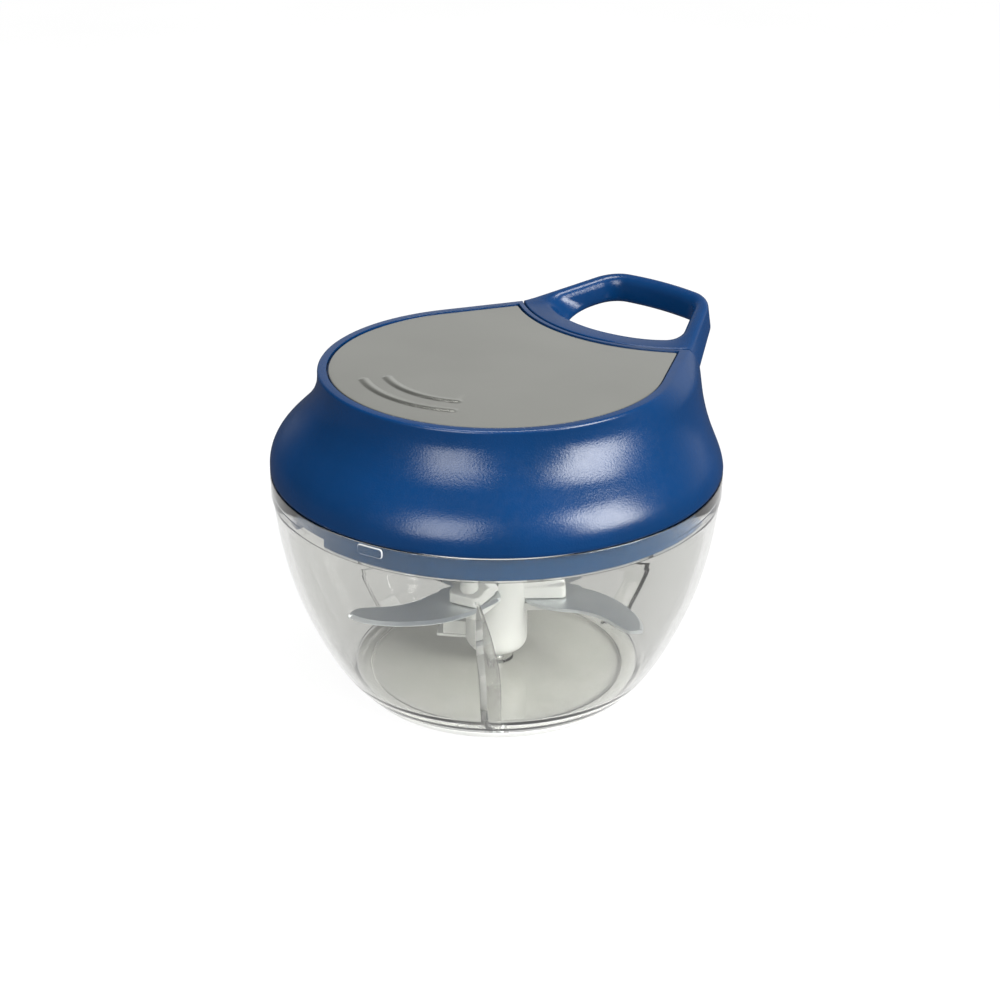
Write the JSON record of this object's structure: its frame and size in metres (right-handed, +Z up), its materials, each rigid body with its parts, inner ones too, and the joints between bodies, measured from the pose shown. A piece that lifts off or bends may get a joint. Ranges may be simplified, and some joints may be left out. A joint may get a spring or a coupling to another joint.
{
  "type": "vegetable chopper",
  "caption": "Pull-cord vegetable chopper: a clear bowl, a blade unit turning on a pin, and a domed lid whose loop handle draws a cord from a sprung reel.",
  "frame": {"origin": "centre of the flat foot, on the bowl's axis, in the plane of the table", "axes": "+Z up along the bowl's axis, +X from the axis towards the pull handle"},
  "size_m": [0.1452, 0.1336, 0.1071],
  "materials": {
    "clear_bowl": "clear polished",
    "foot": "matt",
    "blue_plastic": "fine-grained satin gloss",
    "white_plastic": "satin",
    "dark_plastic": "matt",
    "satin_steel": "satin",
    "blade_steel": "polished",
    "cord": "woven"
  },
  "bodies": {
    "bowl_body": {"bowl": "clear_bowl", "base_pad": "foot", "blade_pin": "blade_steel"},
    "blade_unit": {"blade_shaft": "white_plastic", "blade_1": "blade_steel", "blade_2": "blade_steel", "blade_3": "blade_steel"},
    "lid": {"lid_shell": "blue_plastic", "top_plate": "satin_steel", "lid_base": "blue_plastic", "lid_screw_1": "blade_steel", "lid_screw_2": "blade_steel", "lid_screw_3": "blade_steel", "lid_screw_4": "blade_steel", "reel_case": "dark_plastic", "recoil_spring": "blade_steel", "cord_eyelet": "dark_plastic", "cord_run": "cord"},
    "reel": {"cord_reel": "white_plastic", "wound_cord": "cord"},
    "drive": {"drive_hub": "dark_plastic", "clutch_pawl_1": "blade_steel", "clutch_pawl_2": "blade_steel"},
    "handle": {"pull_handle": "blue_plastic", "cord_stub": "cord", "cord_knot": "cord"}
  },
  "joints": [
    {"name": "lid_lift", "type": "slide", "parent": "bowl_body", "child": "lid", "axis": [0, 0, 1], "range_m": [0, 0.12]},
    {"name": "handle_pull", "type": "slide", "parent": "lid", "child": "handle", "axis": [1, 0, 0], "range_m": [0, 0.32], "stiffness_N_per_m": 8, "springref_m": -0.25},
    {"name": "reel_spin", "type": "hinge", "parent": "lid", "child": "reel", "pos_m": [0, 0, 0.09], "axis": [0, 0, 1], "range_deg": [0, 1260]},
    {"name": "drive_spin", "type": "hinge", "parent": "lid", "child": "drive", "pos_m": [0, 0, 0.068], "axis": [0, 0, 1], "range_deg": [0, 1260]},
    {"name": "blade_spin", "type": "hinge", "parent": "bowl_body", "child": "blade_unit", "pos_m": [0, 0, 0.03], "axis": [0, 0, 1], "range_deg": [0, 1260]}
  ],
  "couplings": [
    {"joint": "reel_spin", "follows": "handle_pull", "rad_per_m": 68.26},
    {"joint": "drive_spin", "follows": "handle_pull", "rad_per_m": 68.26},
    {"joint": "blade_spin", "follows": "handle_pull", "rad_per_m": 68.26}
  ]
}
